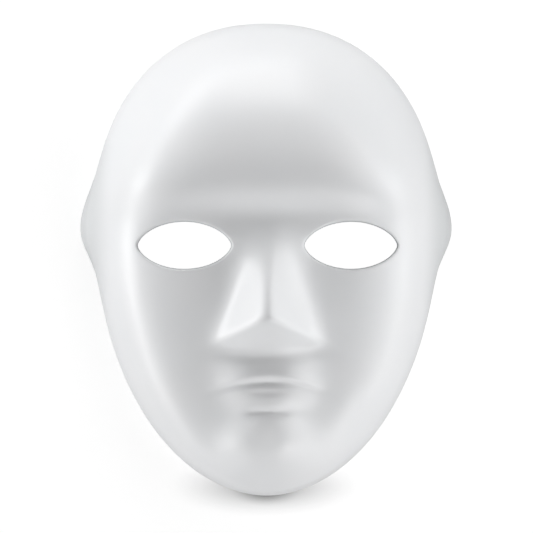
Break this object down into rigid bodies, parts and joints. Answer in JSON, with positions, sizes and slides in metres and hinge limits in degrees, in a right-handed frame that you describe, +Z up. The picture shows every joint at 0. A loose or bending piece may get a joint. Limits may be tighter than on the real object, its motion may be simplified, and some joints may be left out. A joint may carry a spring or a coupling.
{
  "type": "craft mask",
  "caption": "Plain white full-face mask moulded from thin plastic sheet, egg-shaped, with almond eye holes, a wedge nose, closed lips and a flat trimmed rim.",
  "frame": {"origin": "under the middle of the mask, on the surface that its rim lies on", "axes": "+X to the right of someone who looks at the face, +Y from the chin to the top of the forehead, +Z up out of the face, square to the rim"},
  "size_m": [0.1908, 0.24, 0.0808],
  "materials": {
    "white_pvc": "satin white, moulded PVC sheet"
  },
  "bodies": {
    "root": {"mask_shell": "white_pvc"}
  },
  "joints": []
}
